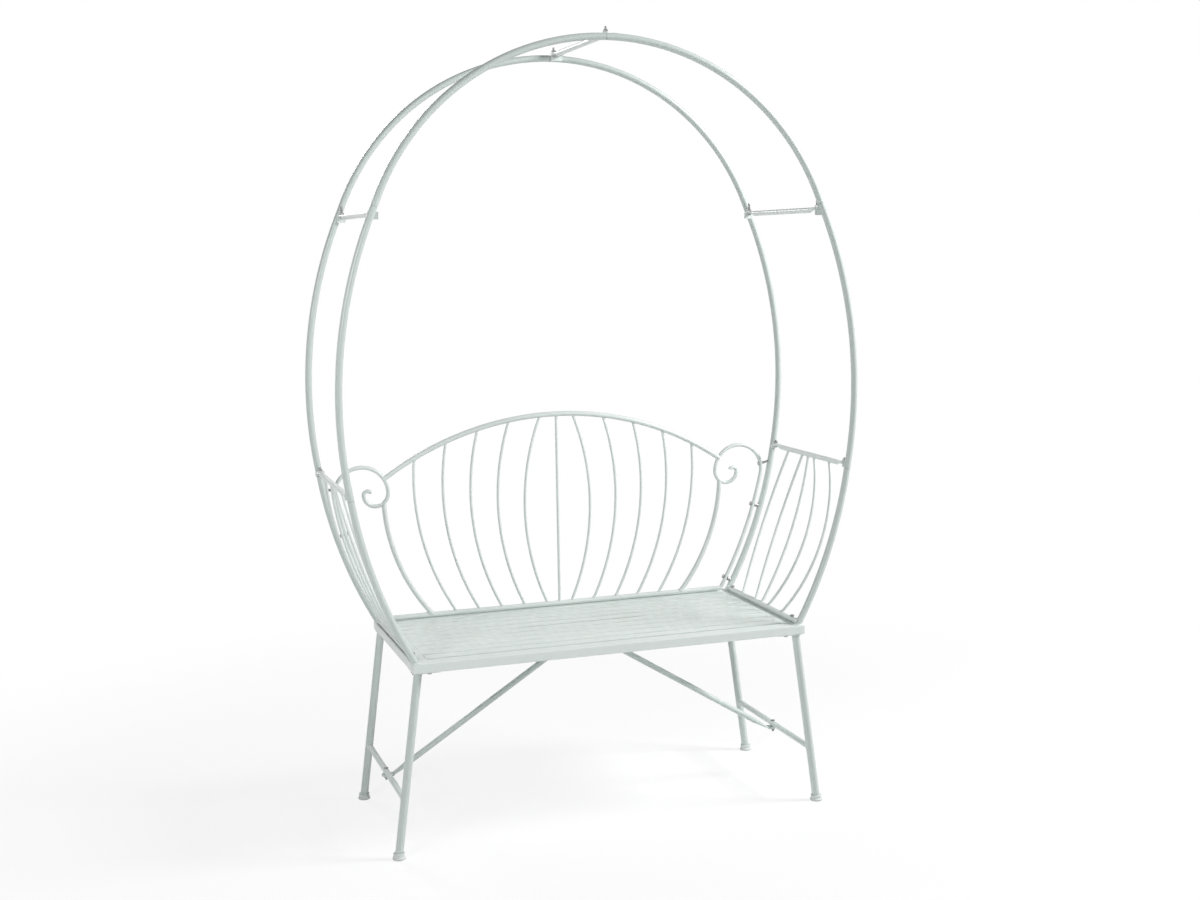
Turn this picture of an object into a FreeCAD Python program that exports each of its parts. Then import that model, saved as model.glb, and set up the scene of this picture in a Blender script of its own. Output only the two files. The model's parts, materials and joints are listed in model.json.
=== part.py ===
import FreeCAD, Part
import math
import os

# Arbour seat: a steel garden bench under two tube hoops, in millimetres.
# +Z is up, +X is to the right in a front view, the front faces -Y.
# The origin is on the floor, under the middle of the seat.

V = FreeCAD.Vector
doc = FreeCAD.newDocument("arbour_seat")
sheet = doc.addObject("Spreadsheet::Sheet", "sizes")

# Driving sizes. A name that ends in _rise is a height above the seat, and one that ends
# in _out or _in is a distance outward or inward from the side of the seat frame.
SIZES = {
    "seat_height": 450,
    "seat_half_width": 482,
    "seat_half_depth": 230,
    "rail_width": 40,
    "rail_height": 20,
    "rail_wall": 1.5,
    "slat_count": 9,
    "slat_width": 30,
    "slat_thickness": 4,
    "bearer_x": 156,
    "bearer_width": 20,
    "bearer_height": 14,
    "strap_width": 44,
    "strap_thickness": 4,
    "hoop_tube": 16,
    "hoop_wall": 1.4,
    "hoop_inset": 18,
    "hoop_top_rise": 1381,
    "crown_joint_out": 49.7,
    "crown_joint_rise": 1012,
    "hoop_widest_out": 141,
    "hoop_widest_rise": 578,
    "post_top_out": 122.5,
    "post_top_rise": 376,
    "post_foot_in": 9.5,
    "post_bow": 18,
    "joint_gap": 1,
    "spigot_reach": 22,
    "spigot_gap": 0.3,
    "weld_gap": 0.3,
    "cross_bar": 13,
    "press_width": 18,
    "press_thickness": 3,
    "press_length": 15,
    "press_taper": 22,
    "bar_bolt_inset": 18,
    "side_tab_rise": 1000,
    "side_bar_shift": 5.5,
    "top_tab_rise": 1390.5,
    "arm_tab_rise": 387.5,
    "top_bar_x": 6.5,
    "tab_width": 20,
    "tab_thickness": 3,
    "tab_reach": 11,
    "top_tab_length": 30,
    "tab_drop": 16,
    "arm_tab_drop": 10,
    "arm_rail": 13,
    "arm_rod": 7,
    "arm_bottom_bar": 13,
    "arm_bolt_inset": 32,
    "outer_arm_rod_foot_gap": 98,
    "outer_arm_rod_bow_gap": 46,
    "outer_arm_rod_top_gap": 100,
    "inner_arm_rod_foot": 35,
    "inner_arm_rod_bow": 82,
    "inner_arm_rod_top": 30,
    "backrest_bar": 10,
    "backrest_rail": 13,
    "backrest_stile": 12,
    "backrest_rod": 7,
    "backrest_top_rise": 498,
    "backrest_arch_drop": 140.7,
    "arch_overlap": 12,
    "stile_offset": 22,
    "scroll_centre_out": 22.5,
    "scroll_centre_rise": 323.5,
    "scroll_radius": 66.5,
    "scroll_inner_radius": 32,
    "scroll_turn_radius": 29,
    "scroll_eye_radius": 10,
    "scroll_eye_turn": 150,
    "back_bolt_low_rise": 24,
    "back_bolt_middle_rise": 221,
    "back_bolt_high_rise": 337,
    "inner_stile_top_in": 32,
    "inner_stile_foot_in": 148,
    "inner_stile_bow": 26.5,
    "rod_bend": 620,
    "leg_tube": 19,
    "leg_wall": 1.5,
    "leg_top_in": 15,
    "leg_foot_out": 43,
    "leg_bolt_in": 41,
    "leg_setback": 3,
    "leg_rail": 14,
    "leg_rail_z": 137,
    "plate_size": 62,
    "plate_thickness": 4,
    "plate_inset": 2,
    "plate_rim": 10,
    "foot_height": 15,
    "foot_lip": 2.5,
    "foot_flare": 5.5,
    "foot_floor": 3,
    "cap_gap": 0.2,
    "brace_tube": 14,
    "brace_flat_width": 22,
    "brace_flat_thickness": 4,
    "brace_flat_length": 16,
    "brace_bend": 3.6,
    "brace_taper": 45,
    "bolt": 6,
    "hole_gap": 0.3,
    "thread_gap": 0.05,
    "head_height": 4,
    "low_head_height": 2,
    "nut_across": 11.5,
    "nut_height": 5,
    "side_thread_end": 20,
    "top_thread_end": 12,
    "arm_thread_end": 9,
    "spacer": 10,
    "trim_block": 120,
}

# Places in the part's own frame, which move with the seat that they are measured from
S = dict(SIZES)
for alias, value in SIZES.items():
    stem, _, kind = alias.rpartition("_")
    if kind == "rise":
        S[stem + "_z"] = S["seat_height"] + value
    elif kind == "out":
        S[stem + "_x"] = S["seat_half_width"] + value
    elif kind == "in":
        S[stem + "_x"] = S["seat_half_width"] - value
S["hoop_plane_y"] = S["seat_half_depth"] - S["hoop_inset"]
S["arm_bolt_y"] = S["hoop_plane_y"] - S["arm_bolt_inset"]

row = 0


def size(alias, value):
    """Write one number in the sheet and give it back."""
    global row
    row += 1
    sheet.set("A%d" % row, alias)
    sheet.set("B%d" % row, "%.6f" % value)
    sheet.setAlias("B%d" % row, alias)
    return value


for alias, value in S.items():
    size(alias, value)

over = 5  # how far a cutting tool runs past the face that it cuts
over_turn = 1  # the same along a bend, in degrees
cope_reach = 30  # how far a cope or a hole runs to each side of its centre
nodes = []


def bind(thing, **expressions):
    """Tie properties of an object to the sheet; NAME in braces is a size."""
    for field, text in expressions.items():
        thing.setExpression(field, text.replace("{", "sizes.").replace("}", ""))
    return thing


def node(label, thing):
    """Name a finished sub-part and keep it for the export."""
    thing.Label = label
    nodes.append(thing)
    return thing


def rotation_from(x_axis, z_axis):
    """A rotation whose local X and Z point along the two given directions."""
    x_axis = V(x_axis).normalize()
    z_axis = V(z_axis).normalize()
    return FreeCAD.Rotation(x_axis, z_axis.cross(x_axis), z_axis, "ZXY")


def along(direction):
    """A rotation that turns local Z to the given direction."""
    return FreeCAD.Rotation(V(0, 0, 1), direction)


def joined(name, pieces):
    thing = doc.addObject("Part::MultiFuse", name)
    thing.Shapes = pieces
    return thing


def group(name, pieces):
    thing = doc.addObject("Part::Compound", name)
    thing.Links = pieces
    return thing


def cut(name, base, tools):
    """The base less one tool, or less several tools at once."""
    thing = doc.addObject("Part::Cut", name)
    thing.Base = base
    thing.Tool = tools[0] if len(tools) == 1 else group(name + "_tools", tools)
    return thing


def box(name, x, y, z, length, width, height):
    """A box from its low corner; its three sides are expressions."""
    thing = doc.addObject("Part::Box", name)
    bind(thing, Length=length, Width=width, Height=height)
    thing.Placement.Base = V(x, y, z)
    return thing


def cylinder(name, start, end, radius):
    """A round bar between two points; its radius is an expression."""
    thing = doc.addObject("Part::Cylinder", name)
    size(name + "_length", (end - start).Length)
    bind(thing, Radius=radius, Height="{%s_length}" % name)
    thing.Placement = FreeCAD.Placement(start, along(end - start))
    return thing


class Arc:
    """The circle arc from start to end that passes through a middle point."""

    def __init__(self, start, middle, end):
        a = middle - start
        b = end - start
        normal = a.cross(b)
        offset = normal.cross(a) * b.Length ** 2 + b.cross(normal) * a.Length ** 2
        self.centre = start + offset * (0.5 / normal.Length ** 2)
        self.normal = V(normal).normalize()
        self.spoke = start - self.centre
        self.radius = self.spoke.Length
        last = end - self.centre
        turn = math.atan2(self.spoke.cross(last).dot(self.normal), self.spoke.dot(last))
        self.sweep = math.degrees(turn) % 360

    def point(self, degrees):
        """The point that lies the given angle after the start."""
        return self.centre + FreeCAD.Rotation(self.normal, degrees).multVec(self.spoke)

    def angle_of(self, length):
        """The angle that a length along the arc takes."""
        return math.degrees(length / self.radius)

    def degrees_at_height(self, z):
        """The angle after the start at which the arc passes the height z."""
        low, high = 0.0, self.sweep
        rising = self.point(high).z > self.point(low).z
        for _ in range(60):
            middle = (low + high) / 2
            if (self.point(middle).z < z) == rising:
                low = middle
            else:
                high = middle
        return low


def arc_of_plane(y, centre, radius, first, sweep, side):
    """An arc in the plane y; side -1 mirrors it to the left of the seat."""
    points = []
    for degrees in (first, first + sweep / 2, first + sweep):
        turn = math.radians(degrees)
        x = side * (centre[0] + radius * math.cos(turn))
        points.append(V(x, y, centre[1] + radius * math.sin(turn)))
    return Arc(*points)


def bent_bar(name, arc, radius, before=0, after=0):
    """A round bar along an arc; before and after lengthen it, in degrees."""
    thing = doc.addObject("Part::Torus", name)
    size(name + "_bend", arc.radius)
    size(name + "_sweep", arc.sweep + before + after)
    thing.Angle1 = -180
    thing.Angle2 = 180
    bind(thing, Radius1="{%s_bend}" % name, Radius2=radius, Angle3="{%s_sweep}" % name)
    first_spoke = arc.point(-before) - arc.centre
    thing.Placement = FreeCAD.Placement(arc.centre, rotation_from(first_spoke, arc.normal))
    return thing


def bent_tube(name, arc, before=0, after=0):
    """A hollow hoop tube along an arc."""
    outer = bent_bar(name + "_outside", arc, "{hoop_tube} / 2", before, after)
    bore = bent_bar(name + "_bore", arc, "{hoop_tube} / 2 - {hoop_wall}",
                    before + over_turn, after + over_turn)
    return cut(name + "_tube", outer, [bore])


def trim_block(name, x, y, top):
    """A block under the given height, to cut the foot of a bar level."""
    half = S["trim_block"] / 2
    return box(name, x - half, y - half, top - 2 * half, "{trim_block}", "{trim_block}", "{trim_block}")


def hole(name, centre, direction, reach=cope_reach):
    """A bolt hole that runs the same reach to both sides of a point."""
    step = V(direction).normalize() * reach
    return cylinder(name, centre - step, centre + step, "{bolt} / 2 + {hole_gap}")


# Heights and places that follow from the driving sizes
seat_top = S["seat_height"]
rail_bottom = seat_top - S["rail_height"]
slat_bottom = seat_top - S["slat_thickness"]
inner_x = S["seat_half_width"] - S["rail_width"]
inner_y = S["seat_half_depth"] - S["rail_width"]
bearer_bottom = slat_bottom - S["bearer_height"]
strap_bottom = bearer_bottom - S["strap_thickness"]
plate_bottom = rail_bottom - S["plate_thickness"]
hoop_y = S["hoop_plane_y"]
bolt_y = hoop_y - S["bar_bolt_inset"]
bar_bottom_z = seat_top + S["arm_bottom_bar"] / 2 + S["weld_gap"]
plate_out_x = S["seat_half_width"] - S["plate_inset"]
brace_y = S["leg_setback"]
leg_y = {end: end * hoop_y + S["leg_setback"] for end in (-1, 1)}
SIDES = (("left", -1), ("right", 1))
ENDS = (("front", -1), ("rear", 1))

hex_nuts = []


def hex_bolt(name, under_head, direction, shank_length, low_head=False):
    """A bolt with a hexagon head, or a low round one; its shank points along the direction."""
    direction = V(direction).normalize()
    if low_head:
        back = direction * S["low_head_height"]
        head = cylinder(name + "_head", under_head - back, under_head, "{nut_across} / 2")
    else:
        back = direction * S["head_height"]
        head = doc.addObject("Part::Prism", name + "_head")
        head.Polygon = 6
        bind(head, Circumradius="{nut_across} / 2", Height="{head_height}")
        head.Placement = FreeCAD.Placement(under_head - back, along(direction))
    tip = under_head + direction * shank_length
    shank = cylinder(name + "_shank", under_head, tip, "{bolt} / 2")
    return joined(name, [head, shank])


def hex_nut(name, seat, direction):
    """A hexagon nut that stands on its seat and grows along the direction."""
    body = doc.addObject("Part::Prism", name + "_body")
    body.Polygon = 6
    bind(body, Circumradius="{nut_across} / 2", Height="{nut_height}")
    body.Placement = FreeCAD.Placement(seat, along(direction))
    top = seat + direction * (S["nut_height"] + over)
    bore = cylinder(name + "_thread", seat - direction * over, top, "{bolt} / 2 + {thread_gap}")
    hex_nuts.append(cut(name, body, [bore]))


# Seat frame: flat rectangular tube, mitred at the corners
def rail(label, turn, half_length_name, half_across_name, drills):
    """One hollow rail, drawn along X at the front and turned into place."""
    half_length = S[half_length_name]
    low_y = -S[half_across_name]
    wall = S["rail_wall"]
    outside = box(label + "_outside", -half_length, low_y, rail_bottom,
                  "2 * {%s}" % half_length_name, "{rail_width}", "{rail_height}")
    cavity = box(label + "_cavity", -half_length, low_y + wall, rail_bottom + wall,
                 "2 * {%s}" % half_length_name, "{rail_width} - 2 * {rail_wall}",
                 "{rail_height} - 2 * {rail_wall}")
    tools = [cavity]
    for side in (-1, 1):
        mitre = box("%s_mitre%d" % (label, side + 1), side * half_length, low_y,
                    rail_bottom - S["rail_height"], "2 * {rail_width}", "2 * {rail_width}",
                    "3 * {rail_height}")
        mitre.Placement.Rotation = FreeCAD.Rotation(V(0, 0, 1), 45)
        tools.append(mitre)
    for index, (x, y, low, high) in enumerate(drills):
        drill = "%s_hole%d" % (label, index)
        tools.append(cylinder(drill, V(x, y, low), V(x, y, high), "{bolt} / 2 + {hole_gap}"))
    thing = cut(label, outside, tools)
    thing.Placement.Rotation = FreeCAD.Rotation(V(0, 0, 1), turn)
    return node(label, thing)


through = (rail_bottom - over, seat_top + over)
lower_wall = (rail_bottom - over, rail_bottom + over)
front_holes = [(side * S["leg_bolt_x"], leg_y[-1]) + lower_wall for side in (-1, 1)]
rear_holes = [(side * S["leg_bolt_x"], -leg_y[1]) + lower_wall for side in (-1, 1)]
side_holes = [(side * S["arm_bolt_y"], -S["post_foot_x"]) + through for side in (-1, 1)]
rail("seat_front_rail", 0, "seat_half_width", "seat_half_depth", front_holes)
rail("seat_right_rail", 90, "seat_half_depth", "seat_half_width", side_holes)
rail("seat_rear_rail", 180, "seat_half_width", "seat_half_depth", rear_holes)
rail("seat_left_rail", 270, "seat_half_depth", "seat_half_width", side_holes)

# Nine flat slats run lengthwise, flush with the frame, over two bearers and a strap
gap = (2 * inner_y - S["slat_count"] * S["slat_width"]) / (S["slat_count"] + 1)
slats = []
for index in range(S["slat_count"]):
    y = -inner_y + gap + index * (S["slat_width"] + gap)
    slats.append(box("slat%d" % index, -inner_x, y, slat_bottom,
                     "2 * ({seat_half_width} - {rail_width})", "{slat_width}", "{slat_thickness}"))
node("seat_slats", group("seat_slats", slats))
strap_half = S["bearer_x"] + S["bearer_width"] / 2
for name, side in SIDES:
    label = "seat_bearer_" + name
    node(label, box(label, side * S["bearer_x"] - S["bearer_width"] / 2, -inner_y, bearer_bottom,
                    "{bearer_width}", "2 * ({seat_half_depth} - {rail_width})", "{bearer_height}"))
strap = box("strap_plate", -strap_half, brace_y - S["strap_width"] / 2, strap_bottom,
            "2 * {bearer_x} + {bearer_width}", "{strap_width}", "{strap_thickness}")
strap_hole = hole("strap_hole", V(0, brace_y, strap_bottom), V(0, 0, 1))
node("seat_centre_strap", cut("seat_centre_strap", strap, [strap_hole]))


# Hoops: per plane two posts, two side sections and two crown sections, tube in tube
def bowed(start, end, bow):
    """The middle of an arc that bulges outward from the chord, as x and z."""
    across = end[0] - start[0]
    up = end[1] - start[1]
    chord = math.hypot(across, up)
    middle_x = (start[0] + end[0]) / 2
    middle_z = (start[1] + end[1]) / 2
    return (middle_x + bow * up / chord, middle_z - bow * across / chord)


def place(side, y, point):
    """A point of the right half, given as x and z, on either side of the seat."""
    return V(side * point[0], y, point[1])


foot = (S["post_foot_x"], seat_top)
post_top = (S["post_top_x"], S["post_top_z"])
widest = (S["hoop_widest_x"], S["hoop_widest_z"])
crown_foot = (S["crown_joint_x"], S["crown_joint_z"])
crown_rise = S["hoop_top_z"] - crown_foot[1]
crown_radius = (crown_rise ** 2 + crown_foot[0] ** 2) / (2 * crown_rise)
crown_centre = (0, S["hoop_top_z"] - crown_radius)
crown_start = math.degrees(math.atan2(crown_foot[1] - crown_centre[1], crown_foot[0]))


def hoop_arcs(side, y):
    """The post, side and crown arcs of one half hoop, from the seat up."""
    post = Arc(place(side, y, foot), place(side, y, bowed(foot, post_top, S["post_bow"])),
               place(side, y, post_top))
    flank = Arc(place(side, y, post_top), place(side, y, widest), place(side, y, crown_foot))
    crown = arc_of_plane(y, crown_centre, crown_radius, crown_start, 90 - crown_start, side)
    return post, flank, crown


def stub(name, arc, first, last, radius):
    """A short round bar along part of an arc, given in degrees."""
    return bent_bar(name, Arc(arc.point(first), arc.point((first + last) / 2), arc.point(last)), radius)


back_bolts = {}
for name, side in SIDES:
    post, flank, crown = hoop_arcs(side, hoop_y)
    lines = []
    for height in (S["back_bolt_low_z"], S["back_bolt_middle_z"]):
        outer = post.point(post.degrees_at_height(height))
        inward = (post.centre - outer).normalize()
        lines.append((outer, inward, S["stile_offset"]))
    turn = math.asin((S["back_bolt_high_z"] - S["scroll_centre_z"]) / S["scroll_radius"])
    on_curl = S["scroll_centre_x"] + S["scroll_radius"] * math.cos(turn)
    level = S["back_bolt_high_z"]
    for _ in range(20):
        outer = post.point(post.degrees_at_height(level))
        level = S["back_bolt_high_z"] + (side * outer.x - on_curl) * math.tan(turn)
    inward = V(-side * math.cos(turn), 0, -math.sin(turn))
    lines.append((outer, inward, (side * outer.x - on_curl) / math.cos(turn)))
    back_bolts[name] = lines

pins = []
pin_radius = "{hoop_tube} / 2 - {hoop_wall} - {spigot_gap}"
for end_name, end in ENDS:
    y = end * hoop_y
    for name, side in SIDES:
        post, flank, crown = hoop_arcs(side, y)
        label = "%s_%s_" % (end_name, name)
        half_gap = S["joint_gap"] / 2
        tools = [trim_block(label + "seat_face", side * foot[0], y, seat_top)]
        if end > 0:
            for index, (outer, inward, reach) in enumerate(back_bolts[name]):
                wall_side = outer + inward * S["hoop_tube"]
                tools.append(cylinder("%spost_hole%d" % (label, index), outer, wall_side,
                                      "{bolt} / 2 + {hole_gap}"))
        tube = bent_tube(label + "post", post, post.angle_of(2 * over), -post.angle_of(half_gap))
        node(label + "post", cut(label + "post", tube, tools))
        node(label + "hoop_side", bent_tube(label + "hoop_side", flank, -flank.angle_of(half_gap),
                                            -flank.angle_of(half_gap)))
        node(label + "crown", bent_tube(label + "crown", crown, -crown.angle_of(half_gap),
                                        -crown.angle_of(half_gap)))
        for index, (low, high) in enumerate(((post, flank), (flank, crown))):
            below = low.point(low.sweep - low.angle_of(S["spigot_reach"]))
            above = high.point(high.angle_of(S["spigot_reach"]))
            pins.append(bent_bar("%spin%d" % (label, index), Arc(below, high.point(0), above), pin_radius))
    half_turn = math.degrees(S["spigot_reach"] / crown_radius)
    peak = arc_of_plane(y, crown_centre, crown_radius, 90 - half_turn, 2 * half_turn, 1)
    pins.append(bent_bar(end_name + "_crown_pin", peak, pin_radius))
node("hoop_spigots", group("hoop_spigots", pins))


# Cross bars: round bars with pressed flat ends, bolted to tabs that are welded to the hoops
def taper(name, round_centre, flat_centre, round_radius, flat_width, flat_thickness, flat_up):
    """The pressed part of a bar, from its round section to its flat end."""
    direction = (flat_centre - round_centre).normalize()
    turn = rotation_from(flat_up.cross(direction), direction)
    circle = doc.addObject("Part::Circle", name + "_round")
    bind(circle, Radius=round_radius)
    circle.Placement = FreeCAD.Placement(round_centre, turn)
    oval = doc.addObject("Part::Ellipse", name + "_oval")
    bind(oval, MajorRadius=flat_width, MinorRadius=flat_thickness)
    oval.Placement = FreeCAD.Placement(flat_centre, turn)
    loft = doc.addObject("Part::Loft", name)
    loft.Sections = [circle, oval]
    loft.Solid = True
    loft.Ruled = True
    return loft


def pressed_bar(label, x, level, gauge):
    """A bar along Y whose flat ends lie on tabs at the given level; gauge names its diameter."""
    axis_z = level + S["press_thickness"] - S[gauge] / 2
    bar_radius = "{%s} / 2" % gauge
    flat_end = bolt_y - S["press_length"]
    round_end = flat_end - S["press_taper"]
    pieces = [cylinder(label + "_bar", V(x, -round_end, axis_z), V(x, round_end, axis_z), bar_radius)]
    holes = []
    for end_name, end in ENDS:
        part = label + "_" + end_name
        flat_middle = level + S["press_thickness"] / 2
        round_centre = V(x, end * round_end, axis_z)
        flat_centre = V(x, end * flat_end, flat_middle)
        eye = V(x, end * bolt_y, level)
        pieces.append(taper(part + "_taper", round_centre, flat_centre, bar_radius,
                            "{press_width} / 2", "{press_thickness} / 2", V(0, 0, 1)))
        pieces.append(box(part + "_flat", x - S["press_width"] / 2, min(end * flat_end, eye.y), level,
                          "{press_width}", "{press_length}", "{press_thickness}"))
        pieces.append(cylinder(part + "_eye", eye, eye + V(0, 0, S["press_thickness"]), "{press_width} / 2"))
        holes.append(hole(part + "_hole", eye, V(0, 0, 1)))
    node(label, cut(label, joined(label + "_solid", pieces), holes))


tabs = []
bolts = []


def bar_fixings(label, x, level, tab_low_x, tab_length, drop_size, thread_end):
    """The two angle tabs, bolts and nuts of one cross bar, against the hoop tubes."""
    for end_name, end in ENDS:
        part = "%s_%s" % (label, end_name)
        inside = end * (hoop_y - S["hoop_tube"] / 2 - S["weld_gap"])
        near = end * (bolt_y - S["tab_reach"])
        shelf = box(part + "_shelf", tab_low_x, min(near, inside), level - S["tab_thickness"], tab_length,
                    "{bar_bolt_inset} + {tab_reach} - {hoop_tube} / 2 - {weld_gap}", "{tab_thickness}")
        drop_y = min(inside, inside - end * S["tab_thickness"])
        drop = box(part + "_tab_drop", tab_low_x, drop_y, level - S[drop_size], tab_length,
                   "{tab_thickness}", "{%s}" % drop_size)
        spot = V(x, end * bolt_y, level)
        angle = joined(part + "_angle", [shelf, drop])
        tabs.append(cut(part + "_welded_tab", angle, [hole(part + "_tab_hole", spot, V(0, 0, 1))]))
        under_tab = spot - V(0, 0, S["tab_thickness"])
        stack = S["tab_thickness"] + S["press_thickness"]
        bolts.append(hex_bolt(part + "_bolt", under_tab, V(0, 0, 1), stack + thread_end))
        hex_nut(part + "_nut", spot + V(0, 0, S["press_thickness"]), V(0, 0, 1))


bar_x = {}
for name, side in SIDES:
    flank = hoop_arcs(side, 0)[1]
    kinds = (
        ("arm_rail", S["arm_tab_z"], "arm_rail", 0, "arm_tab_drop", S["arm_thread_end"]),
        ("side_cross_bar", S["side_tab_z"], "cross_bar", S["side_bar_shift"], "tab_drop", S["side_thread_end"]),
    )
    for kind, level, gauge, shift, drop_size, thread_end in kinds:
        label = "%s_%s" % (kind, name)
        x = flank.point(flank.degrees_at_height(level)).x - side * shift
        bar_x[label] = x
        pressed_bar(label, x, level, gauge)
        bar_fixings(label, x, level, x - S["tab_width"] / 2, "{tab_width}", drop_size, thread_end)
pressed_bar("top_cross_bar", S["top_bar_x"], S["top_tab_z"], "cross_bar")
bar_fixings("top_cross_bar", S["top_bar_x"], S["top_tab_z"], S["joint_gap"], "{top_tab_length}", "tab_drop",
            S["top_thread_end"])
node("cross_bar_tabs", group("cross_bar_tabs", tabs))
node("cross_bar_bolts", group("cross_bar_bolts", bolts))

# Arm panels: a bottom bar on the side rail, five bowed rods and the arm rail above
arm_axis_z = S["arm_tab_z"] + S["press_thickness"] - S["arm_rail"] / 2
outer_rod = [hoop_y - S["outer_arm_rod_" + part] for part in ("foot_gap", "bow_gap", "top_gap")]
inner_rod = [S["inner_arm_rod_" + part] for part in ("foot", "bow", "top")]
arm_rod_places = [[-y for y in outer_rod], [-y for y in inner_rod], [0, 0, 0], inner_rod, outer_rod]
panel_bolts = []
for name, side in SIDES:
    ends = []
    for end_name, end in ENDS:
        post = hoop_arcs(side, end * hoop_y)[0]
        reach = post.angle_of(cope_reach)
        ends.append(stub("arm_bar_%s_%s_cope" % (name, end_name), post, -reach, reach,
                         "{hoop_tube} / 2 + {weld_gap}"))
    low_start = V(side * foot[0], -hoop_y, bar_bottom_z)
    low_end = V(side * foot[0], hoop_y, bar_bottom_z)
    bottom = cylinder("arm_bottom_%s_bar" % name, low_start, low_end, "{arm_bottom_bar} / 2")
    for end_name, end in ENDS:
        spot = V(side * foot[0], end * S["arm_bolt_y"], bar_bottom_z)
        part = "arm_panel_%s_%s" % (name, end_name)
        ends.append(hole(part + "_hole", spot, V(0, 0, 1)))
        head_seat = spot + V(0, 0, S["arm_bottom_bar"] / 2)
        shank = head_seat.z - plate_bottom + S["nut_height"] + over
        panel_bolts.append(hex_bolt(part + "_bolt", head_seat, V(0, 0, -1), shank))
        hex_nut(part + "_nut", V(spot.x, spot.y, plate_bottom), V(0, 0, -1))
    label = "arm_bottom_bar_" + name
    node(label, cut(label, bottom, ends))

    rail_x = bar_x["arm_rail_" + name]
    rods = []
    for index, (low_y, middle_y, high_y) in enumerate(arm_rod_places):
        post = hoop_arcs(side, middle_y)[0]
        middle = post.point(post.degrees_at_height((bar_bottom_z + arm_axis_z) / 2))
        rod_name = "arm_rod_%s_%d" % (name, index)
        arc = Arc(V(side * foot[0], low_y, bar_bottom_z), middle, V(rail_x, high_y, arm_axis_z))
        if low_y == high_y:
            # The middle rod meets both bars square, so its ends stay plain
            short = -arc.angle_of(S["arm_rail"] / 2 + S["weld_gap"])
            rods.append(bent_bar(rod_name, arc, "{arm_rod} / 2", short, short))
            continue
        rod = bent_bar(rod_name, arc, "{arm_rod} / 2")
        lengthwise = V(0, cope_reach, 0)
        copes = []
        for part, spot, gauge in (("_rail_cope", arc.point(arc.sweep), "arm_rail"),
                                  ("_bar_cope", arc.point(0), "arm_bottom_bar")):
            copes.append(cylinder(rod_name + part, spot - lengthwise, spot + lengthwise,
                                  "{%s} / 2 + {weld_gap}" % gauge))
        rods.append(cut(rod_name + "_coped", rod, copes))
    node("arm_rods_" + name, group("arm_rods_" + name, rods))
node("arm_panel_bolts", group("arm_panel_bolts", panel_bolts))

# Backrest: scroll bars beside the rear posts, an arched rail, a bottom rail and rods
back_z = seat_top + S["backrest_rail"] / 2 + S["weld_gap"]
scroll_centre = (S["scroll_centre_x"], S["scroll_centre_z"])
curl_x = scroll_centre[0] + S["scroll_radius"]
arch_end = scroll_centre[0] - S["scroll_radius"] + S["arch_overlap"]
arch_drop = S["backrest_arch_drop"]
arch_radius = (arch_end ** 2 + arch_drop ** 2) / (2 * arch_drop)
arch_centre = (0, S["backrest_top_z"] - arch_radius)


def arch_z(x):
    """The height of the arched rail's centre line."""
    return arch_centre[1] + math.sqrt(arch_radius ** 2 - x ** 2)


def scroll_arcs(side):
    """The six tangent arcs of a scroll bar, from the seat rail to the eye."""
    post = hoop_arcs(1, hoop_y)[0]
    low_radius = post.radius - S["stile_offset"]
    across = curl_x - post.centre.x
    up = scroll_centre[1] - post.centre.z
    bend = (low_radius ** 2 - across ** 2 - up ** 2) / (2 * (low_radius - across))
    bend_centre = (curl_x - bend, scroll_centre[1])
    tangent = math.degrees(math.atan2(bend_centre[1] - post.centre.z, bend_centre[0] - post.centre.x))
    low = math.degrees(math.asin((seat_top - 2 * over - post.centre.z) / low_radius))
    inner = S["scroll_inner_radius"]
    turn = S["scroll_turn_radius"]
    eye = S["scroll_eye_radius"]
    left = scroll_centre[0] - S["scroll_radius"]
    bottom = (left + inner, scroll_centre[1] - inner)
    outer = (bottom[0] + turn, bottom[1] + turn)
    steps = (
        ((post.centre.x, post.centre.z), low_radius, low, tangent - low),
        (bend_centre, bend, tangent, -tangent),
        (scroll_centre, S["scroll_radius"], 0, 180),
        ((left + inner, scroll_centre[1]), inner, 180, 90),
        ((bottom[0], outer[1]), turn, 270, 90),
        ((outer[0] - eye, outer[1]), eye, 0, S["scroll_eye_turn"]),
    )
    return [arc_of_plane(hoop_y, *step, side) for step in steps]


bar_radius = "{backrest_bar} / 2"
cope_radius = "{backrest_bar} / 2 + {weld_gap}"
back_fixings = []
spacers = []
for name, side in SIDES:
    arcs = scroll_arcs(side)
    pieces = [bent_bar("scroll_%s_%d" % (name, index), arc, bar_radius) for index, arc in enumerate(arcs)]
    tools = [trim_block("scroll_%s_seat_face" % name, side * foot[0], hoop_y, seat_top)]
    post = hoop_arcs(side, hoop_y)[0]
    for index, (outer, inward, reach) in enumerate(back_bolts[name]):
        part = "back_bolt_%s_%d" % (name, index)
        bar_centre = outer + inward * reach
        head_seat = bar_centre + inward * (S["backrest_bar"] / 2 + S["weld_gap"])
        tools.append(hole(part + "_hole", bar_centre, inward, S["backrest_bar"]))
        top_one = index == 2
        shank = (outer - head_seat).Length + S["hoop_wall"]
        back_fixings.append(hex_bolt(part, head_seat, -inward, shank, top_one))
        to_post = bar_centre - inward * (S["backrest_bar"] / 2)
        if top_one:
            hex_nut(part + "_nut", to_post, -inward)
        else:
            sleeve = cylinder(part + "_sleeve", outer, to_post, "{spacer} / 2")
            at_bolt = post.degrees_at_height(outer.z)
            near = post.angle_of(cope_reach)
            post_cope = stub(part + "_cope", post, at_bolt - near, at_bolt + near,
                             "{hoop_tube} / 2 + {weld_gap}")
            spacers.append(cut(part + "_spacer", sleeve, [post_cope, hole(part + "_bore", outer, inward)]))
    label = "backrest_scroll_" + name
    node(label, cut(label, joined(label + "_solid", pieces), tools))
node("backrest_bolts", group("backrest_bolts", back_fixings))
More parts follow.
